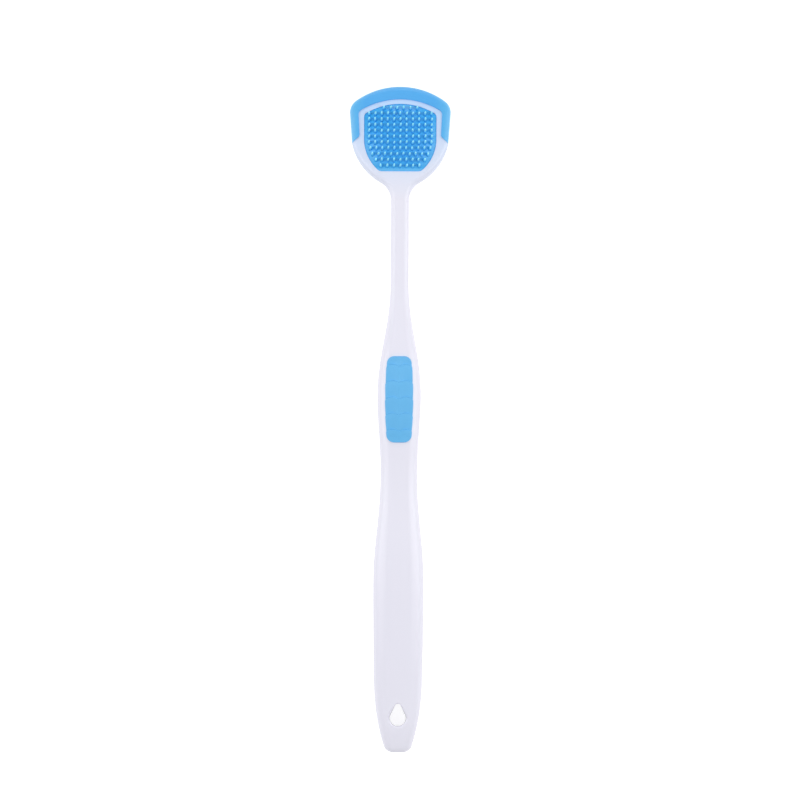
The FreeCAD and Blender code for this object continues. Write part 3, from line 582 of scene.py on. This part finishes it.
# The soft pad is a little larger than its recess, so that no gap shows round it
PAD_GROW = 1.4 * BOND_GAP
outline = pad_outline(PAD_GROW)
raised = pad_outline(PAD_GROW - PAD_BREAK)
pad = shell_object("nub_pad_plate", [[(x, y, PAD_FLOOR) for x, y in outline],
                                     [(x, y, PAD_TOP - PAD_BREAK) for x, y in outline],
                                     [(x, y, PAD_TOP) for x, y in raised]])
smooth(pad, angle=50)

# Painted light: the pad is painted paler up the sides of its nubs, with a painted highlight at their tips, and
# on the plain border along its foot, where no nubs shade it
SIDES_PALER = (PAD_TOP + 0.05, PAD_TOP + 0.5)
TIPS_PALER = (PAD_TOP + 0.4, PAD_TOP + 1.35)
FOOT_PALER = (PAD_FOOT + 1.1, PAD_FOOT + 0.5)
pad_blue = Finish("blue_pad_elastomer", ior=1.48)
clouds = pad_blue.spread(pad_blue.noise(scale=90.0), 0, 1)
deep_blue = pad_blue.blend(clouds, srgb(57, 175, 241), srgb(64, 180, 245))
at = pad_blue.axes()
# Painted light on the foot border, the nub sides and, as a painted highlight, the nub tips
painted_foot_light_blue = pad_blue.blend(pad_blue.between(at["Y"], *FOOT_PALER), deep_blue, srgb(102, 192, 248))
painted_side_light_blue = pad_blue.blend(pad_blue.between(at["Z"], *SIDES_PALER), painted_foot_light_blue, srgb(78, 190, 255))
painted_tip_highlight_blue = pad_blue.blend(pad_blue.between(at["Z"], *TIPS_PALER), painted_side_light_blue, srgb(155, 237, 255))
pad_blue.feed("Base Color", painted_tip_highlight_blue)
pad_blue.feed("Roughness", pad_blue.spread(pad_blue.noise(scale=350.0), 0.26, 0.36))
pad_blue.grain(pad_blue.noise(scale=3400.0), strength=0.06, depth=0.03)
pad.data.materials.append(pad_blue.material)

NUB_SIZES = {
    "Nub base": 1.0, "Nub height": 1.7, "Nub root": 0.2, "Row pitch": 1.6, "Least pitch": 1.64,
    "First row": 1.2, "Pad apex": PAD_APEX, "Pad radius": PAD_RADIUS, "Pad half": PAD_HALF,
    "Pad shoulder": PAD_SHOULDER, "Cheek radius": PAD_CHEEK_RADIUS, "Pad top": PAD_TOP,
    "Inset top": 0.6, "Inset side": 1.3, "Inset cheek": 1.3, "Nub stretch": 1.4,
}
NUB_ROWS = 11
NUB_MOST = 11
NUB_SIDES = 8
NUB_RINGS = 6
# All nubs lean towards the head by the tilt. Each then leans and turns by up to its own share, in radians
NUB_TILT = 0.16
NUB_LEAN = 0.06
NUB_TURN = 0.5
NUB_SEED = 7
# Half width of a nub from its root to its tip, as shares of its height and of half its base
NUB_PROFILE = ((0.0, 0.95), (0.18, 0.76), (0.55, 0.6), (0.84, 0.49), (0.95, 0.37), (1.0, 0.18))


class Tree:
    """A tree of geometry nodes under construction, with its sizes as named inputs."""

    def __init__(self, name, sizes):
        self.group = bpy.data.node_groups.new(name, "GeometryNodeTree")
        self.group.interface.new_socket("Geometry", in_out="OUTPUT", socket_type="NodeSocketGeometry")
        self.sizes = sizes
        self.ids = {}
        for size in sizes:
            socket = self.group.interface.new_socket(size, in_out="INPUT", socket_type="NodeSocketFloat")
            self.ids[size] = socket.identifier
        self.inputs = self.group.nodes.new("NodeGroupInput").outputs

    def add(self, kind, values, **settings):
        """First output of a node with its settings and inputs, given as numbers or other nodes' sockets."""
        node = self.group.nodes.new(kind)
        for name, setting in settings.items():
            setattr(node, name, setting)
        for name, value in values.items():
            if isinstance(value, bpy.types.NodeSocket):
                self.group.links.new(value, node.inputs[name])
            else:
                node.inputs[name].default_value = value
        return node.outputs[0]

    def calc(self, operation, *values):
        return self.add("ShaderNodeMath", dict(enumerate(values)), operation=operation)

    def vector(self, x, y, z):
        return self.add("ShaderNodeCombineXYZ", {"X": x, "Y": y, "Z": z})

    def axes(self):
        """The place of each point, as its X, Y and Z."""
        place = self.add("GeometryNodeInputPosition", {})
        return self.add("ShaderNodeSeparateXYZ", {"Vector": place}).node.outputs

    def curve(self, points, value):
        """The height of a smooth curve through some points, at a value from 0 to 1."""
        node = self.group.nodes.new("ShaderNodeFloatCurve")
        line = node.mapping.curves[0]
        line.points[0].location = points[0]
        line.points[1].location = points[-1]
        for share, height in points[1:-1]:
            line.points.new(share, height)
        node.mapping.update()
        self.group.links.new(value, node.inputs["Value"])
        return node.outputs["Value"]

    def finished(self, geometry, material):
        """Ends the tree in plain geometry of one material and gives the mesh that it makes, in metres."""
        whole = self.add("GeometryNodeRealizeInstances", {"Geometry": geometry})
        painted = self.add("GeometryNodeSetMaterial", {"Geometry": whole, "Material": material})
        self.group.links.new(painted, self.group.nodes.new("NodeGroupOutput").inputs["Geometry"])
        carrier = placed(self.group.name, bpy.data.meshes.new(self.group.name))
        modifier = carrier.modifiers.new(self.group.name, "NODES")
        modifier.node_group = self.group
        for size, value in self.sizes.items():
            modifier[self.ids[size]] = value
        applied(carrier)
        mesh = carrier.data
        mesh.transform(((MM, 0, 0, 0), (0, MM, 0, 0), (0, 0, MM, 0), (0, 0, 0, 1)))
        bpy.data.objects.remove(carrier)
        return mesh


nubs = Tree("nub_rows", NUB_SIZES)
size = nubs.inputs
calc = nubs.calc
index = nubs.add("GeometryNodeInputIndex", {})
row = calc("FLOOR", calc("DIVIDE", index, NUB_MOST))
place = calc("MODULO", index, NUB_MOST)
row_y = calc("SUBTRACT", calc("SUBTRACT", size["Pad apex"], size["First row"]),
             calc("MULTIPLY", row, size["Row pitch"]))


def chord(radius, inset, offset):
    """Half the chord of a circle, made smaller by an inset, at an offset from its centre."""
    rest = calc("SUBTRACT", calc("POWER", calc("SUBTRACT", radius, inset), 2), calc("POWER", offset, 2))
    return calc("SQRT", calc("MAXIMUM", rest, 0))


arch_y = calc("SUBTRACT", size["Pad apex"], size["Pad radius"])
below = calc("MINIMUM", calc("SUBTRACT", row_y, size["Pad shoulder"]), 0)
under_arch = chord(size["Pad radius"], size["Inset top"], calc("SUBTRACT", row_y, arch_y))
in_sides = calc("SUBTRACT", size["Pad half"], size["Inset side"])
in_cheeks = calc("ADD", calc("SUBTRACT", size["Pad half"], size["Cheek radius"]),
                 chord(size["Cheek radius"], size["Inset cheek"], below))
reach = calc("MINIMUM", calc("MINIMUM", under_arch, in_sides), in_cheeks)
gaps = calc("FLOOR", calc("DIVIDE", calc("MULTIPLY", reach, 2), size["Least pitch"]))
across = calc("MULTIPLY", reach, calc("SUBTRACT", calc("DIVIDE", calc("MULTIPLY", place, 2), gaps), 1))
spots = nubs.add("GeometryNodePoints", {
    "Count": NUB_ROWS * NUB_MOST,
    "Position": nubs.vector(across, row_y, calc("SUBTRACT", size["Pad top"], size["Nub root"])),
})
spare = nubs.add("FunctionNodeCompare", {0: place, 1: calc("ADD", gaps, 0.5)}, operation="GREATER_THAN")
spots = nubs.add("GeometryNodeDeleteGeometry", {"Geometry": spots, "Selection": spare})
tall = calc("ADD", size["Nub height"], size["Nub root"])
post = nubs.add("GeometryNodeMeshCone", {
    "Vertices": NUB_SIDES, "Side Segments": NUB_RINGS, "Radius Top": 1.0, "Radius Bottom": 1.0, "Depth": 1.0,
})
at = nubs.axes()
climb = calc("SINE", calc("MULTIPLY", at["Z"], math.pi / 2))
half = calc("MULTIPLY", nubs.curve(NUB_PROFILE, climb), calc("DIVIDE", size["Nub base"], 2))
post = nubs.add("GeometryNodeSetPosition", {
    "Geometry": post,
    "Position": nubs.vector(calc("MULTIPLY", at["X"], half),
                            calc("MULTIPLY", calc("MULTIPLY", at["Y"], half), size["Nub stretch"]),
                            calc("MULTIPLY", climb, tall)),
})
post = nubs.add("GeometryNodeSetShadeSmooth", {"Geometry": post})
lean = nubs.add("FunctionNodeRandomValue", {
    "Min": (-NUB_TILT - NUB_LEAN, -NUB_LEAN, -NUB_TURN),
    "Max": (NUB_LEAN - NUB_TILT, NUB_LEAN, 0),
    "Seed": NUB_SEED,
}, data_type="FLOAT_VECTOR")
nub_field = nubs.add("GeometryNodeInstanceOnPoints", {"Points": spots, "Instance": post, "Rotation": lean})
nub_piece = placed("nub_pad_nubs", nubs.finished(nub_field, pad_blue.material))
for piece in (pad, nub_piece):
    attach(piece, "root")
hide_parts("nub_pad")


# Thumb grip: a soft blue elastomer inlay moulded into the thumb swell. It is barrel-shaped and crowned,
# and its face is a row of overlapping scales, each edge a double arch that stops the thumb from sliding.
GRIP_SIZES = {
    "Length": 23.8, "Half width": 3.9, "Side radius": 125.0, "Corner": 1.9, "Middle": 5.65,
    "Crest": 9.2, "Crown radius": 16.0, "Bow radius": 157.0, "Edge round": 0.25, "First ridge": 2.9,
    "Ridge pitch": 4.47, "Ridge half": 4.3, "Ridge step": 0.4, "Ridge rise": 0.95, "Ridge fall": 0.6,
    "Side bump": 0.1,
}
GRIP_FLOOR = 7.2
# Points of the scaled face across and along the grip
GRIP_ACROSS = 61
GRIP_ALONG = 301
# Height of a scale from its edge down to the next one, as shares of the pitch and of the step
SCALE_PROFILE = ((0.0, 0.02), (0.02, 0.6), (0.05, 0.96), (0.1, 1.0), (0.5, 0.62), (0.9, 0.1), (1.0, 0.0))
# Whole pitches that keep the count of scales above zero at the grip's upper end
SCALES_ABOVE = 10
# The valleys get shallow at the grip's sides, a little in its middle, and at its ends
SIDE_POWER = 6
SIDE_LOSS = 0.85
MIDDLE_DEPTH = 0.5
MIDDLE_GAIN = 1.4
END_DEPTH = 0.15
END_GAIN = 0.5
ridges = Tree("grip_scales", GRIP_SIZES)
size = ridges.inputs
calc = ridges.calc
flat = ridges.add("GeometryNodeMeshGrid", {
    "Size X": 2.0, "Size Y": 1.0, "Vertices X": GRIP_ACROSS, "Vertices Y": GRIP_ALONG,
})
at = ridges.axes()
aside = calc("ABSOLUTE", at["X"])
along = calc("MULTIPLY", at["Y"], size["Length"])


def sag(radius, offset):
    """How far a circle of a radius falls away at an offset from its crown."""
    rest = calc("SUBTRACT", calc("POWER", radius, 2), calc("POWER", offset, 2))
    return calc("SUBTRACT", radius, calc("SQRT", calc("MAXIMUM", rest, 0)))


def rolled(radius, depth):
    """How far a rolled edge of a radius lies below its face at a depth in from the rim."""
    return sag(radius, calc("MAXIMUM", calc("SUBTRACT", radius, depth), 0))


from_end = calc("SUBTRACT", calc("DIVIDE", size["Length"], 2), calc("ABSOLUTE", along))
barrel = calc("SUBTRACT", size["Half width"], sag(size["Side radius"], along))
half = calc("SUBTRACT", barrel, rolled(size["Corner"], from_end))
across = calc("MULTIPLY", at["X"], half)
# Double arch of a ridge line: two arcs from the middle out to the sides, each bulging towards the head
side_share = calc("DIVIDE", calc("ABSOLUTE", across), size["Ridge half"])
bulge = calc("MULTIPLY", calc("MULTIPLY", side_share, calc("SUBTRACT", 1, side_share)), 4)
wave = calc("SUBTRACT", calc("MULTIPLY", bulge, size["Ridge rise"]),
            calc("MULTIPLY", side_share, size["Ridge fall"]))
first = calc("SUBTRACT", calc("DIVIDE", size["Length"], 2), size["First ridge"])
down = calc("DIVIDE", calc("SUBTRACT", calc("ADD", first, wave), along), size["Ridge pitch"])
risen = ridges.curve(SCALE_PROFILE, calc("FRACT", calc("ADD", down, SCALES_ABOVE)))
by_side = calc("SUBTRACT", 1, calc("MULTIPLY", calc("POWER", aside, SIDE_POWER), SIDE_LOSS))
by_middle = calc("ADD", calc("MULTIPLY", aside, MIDDLE_GAIN), MIDDLE_DEPTH)
by_end = calc("ADD", calc("MULTIPLY", from_end, END_GAIN), END_DEPTH)
shallow = calc("MINIMUM", calc("MINIMUM", by_side, by_middle), by_end)
valley = calc("MULTIPLY", calc("MULTIPLY", calc("SUBTRACT", 1, risen), size["Ridge step"]), shallow)
depth = calc("MINIMUM", from_end, calc("SUBTRACT", half, calc("ABSOLUTE", across)))
round_off = calc("ADD", sag(size["Bow radius"], along), rolled(size["Edge round"], depth))
fall = calc("ADD", sag(size["Crown radius"], across), calc("ADD", valley, round_off))
bumped = calc("MULTIPLY", calc("SUBTRACT", risen, 1), size["Side bump"])
wide = calc("ADD", across, calc("MULTIPLY", at["X"], calc("MULTIPLY", bumped, aside)))
face = ridges.add("GeometryNodeSetPosition", {
    "Geometry": flat,
    "Position": ridges.vector(wide, calc("ADD", along, size["Middle"]), calc("SUBTRACT", size["Crest"], fall)),
})

grip_blue = Finish("blue_grip_elastomer", ior=1.48)
clouds = grip_blue.spread(grip_blue.noise(scale=80.0), 0, 1)
# Painted light: the grip is the same elastomer as the lip, its blue set lighter because its crowned face turns
# up to the light
grip_blue.feed("Base Color", grip_blue.blend(clouds, srgb(98, 182, 235), srgb(106, 187, 240)))
grip_blue.feed("Roughness", grip_blue.spread(grip_blue.noise(scale=300.0), 0.42, 0.52))
grip_blue.grain(grip_blue.noise(scale=3000.0), strength=0.10, depth=0.03)
grip_mesh = ridges.finished(face, grip_blue.material)
# The scaled face gets straight walls and a floor in the handle, its faces in the same order on each run
shell = bmesh.new()
shell.from_mesh(grip_mesh)
rim = [edge for edge in shell.edges if edge.is_boundary]
feet = {}
for edge in rim:
    for vertex in edge.verts:
        if vertex not in feet:
            feet[vertex] = shell.verts.new((vertex.co.x, vertex.co.y, GRIP_FLOOR * MM))
for edge in rim:
    start, end = edge.verts
    # Each wall takes its material from the face that it hangs from
    shell.faces.new((start, end, feet[end], feet[start]), edge.link_faces[0])
bmesh.ops.contextual_create(shell, geom=[edge for edge in shell.edges if edge.is_boundary])
bmesh.ops.recalc_face_normals(shell, faces=shell.faces)
shell.to_mesh(grip_mesh)
shell.free()
grip = placed("thumb_grip_inlay", grip_mesh)
smooth(grip, angle=50)
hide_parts("thumb_grip")
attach(grip, "root")


# Studio: a white paper floor that the tool lies on, a white surround, soft lamps at both sides and beyond
# the head, and a camera that looks straight down. The paper glows a little, so that it shows white and
# still keeps the tool's shadow. All sizes here are in metres.
FLOOR_HALF = 1.5
FLOOR_Z = -0.00005
FLOOR_CORNERS = ((-1, -1), (1, -1), (1, 1), (-1, 1))
FLOOR_SHADE = 0.6
FLOOR_GLOW = 0.4
FLOOR_SEEN = 0.68
scene = bpy.context.scene
scene.view_settings.view_transform = "Standard"
sheet = bpy.data.meshes.new("floor")
sheet.from_pydata([(x * FLOOR_HALF, y * FLOOR_HALF, FLOOR_Z) for x, y in FLOOR_CORNERS], [], [(0, 1, 2, 3)])
floor = placed("floor", sheet)
paper = bpy.data.materials.new("white_paper")
paper.use_nodes = True
nodes, links = paper.node_tree.nodes, paper.node_tree.links
nodes.remove(nodes["Principled BSDF"])
shade = nodes.new("ShaderNodeBsdfDiffuse")
shade.inputs["Color"].default_value = (FLOOR_SHADE, FLOOR_SHADE, FLOOR_SHADE, 1.0)
glow = nodes.new("ShaderNodeEmission")
rays = nodes.new("ShaderNodeLightPath")
strength = nodes.new("ShaderNodeMapRange")
strength.inputs["To Min"].default_value = FLOOR_GLOW
strength.inputs["To Max"].default_value = FLOOR_SEEN
links.new(rays.outputs["Is Camera Ray"], strength.inputs["Value"])
links.new(strength.outputs["Result"], glow.inputs["Strength"])
backdrop = nodes.new("ShaderNodeAddShader")
links.new(shade.outputs["BSDF"], backdrop.inputs[0])
links.new(glow.outputs["Emission"], backdrop.inputs[1])
links.new(backdrop.outputs["Shader"], nodes["Material Output"].inputs["Surface"])
sheet.materials.append(paper)

SURROUND_LIGHT = 0.53
SURROUND_SEEN = 1.0
world = bpy.data.worlds.new("white_surround")
world.use_nodes = True
nodes, links = world.node_tree.nodes, world.node_tree.links
lit = nodes["Background"]
seen = nodes.new("ShaderNodeBackground")
for background, level in ((lit, SURROUND_LIGHT), (seen, SURROUND_SEEN)):
    background.inputs["Color"].default_value = (1.0, 1.0, 1.0, 1.0)
    background.inputs["Strength"].default_value = level
rays = nodes.new("ShaderNodeLightPath")
either = nodes.new("ShaderNodeMixShader")
links.new(rays.outputs["Is Camera Ray"], either.inputs["Fac"])
links.new(lit.outputs["Background"], either.inputs[1])
links.new(seen.outputs["Background"], either.inputs[2])
links.new(either.outputs["Shader"], nodes["World Output"].inputs["Surface"])
scene.world = world


def softbox(name, place, target, width, length, watts):
    """A rectangular lamp that faces a point."""
    lamp = bpy.data.lights.new(name, "AREA")
    lamp.shape = "RECTANGLE"
    lamp.size = width
    lamp.size_y = length
    lamp.energy = watts
    holder = placed(name, lamp)
    holder.location = place
    holder.rotation_euler = (Vector(target) - Vector(place)).to_track_quat("-Z", "Y").to_euler()


softbox("left_box", place=(-0.46, 0.02, 0.33), target=(0, 0, 0), width=0.34, length=0.60, watts=1.3)
softbox("right_box", place=(0.46, 0.02, 0.33), target=(0, 0, 0), width=0.34, length=0.60, watts=1.4)
softbox("head_box", place=(0, 0.55, 0.30), target=(0, 0.06, 0), width=0.30, length=0.20, watts=0.5)

CAMERA_PLACE = (0.00024, 0.00547, 0.394)
CAMERA_ROLL = 0.0042
CAMERA_CLIP = 0.01
VIEW_HALF = 0.11137
VIEW_DEPTH = 0.390
eye = bpy.data.cameras.new("camera")
eye.sensor_fit = "HORIZONTAL"
eye.angle = 2 * math.atan(VIEW_HALF / VIEW_DEPTH)
eye.clip_start = CAMERA_CLIP
camera = placed("camera", eye)
camera.location = CAMERA_PLACE
camera.rotation_euler = (0, 0, CAMERA_ROLL)
scene.camera = camera
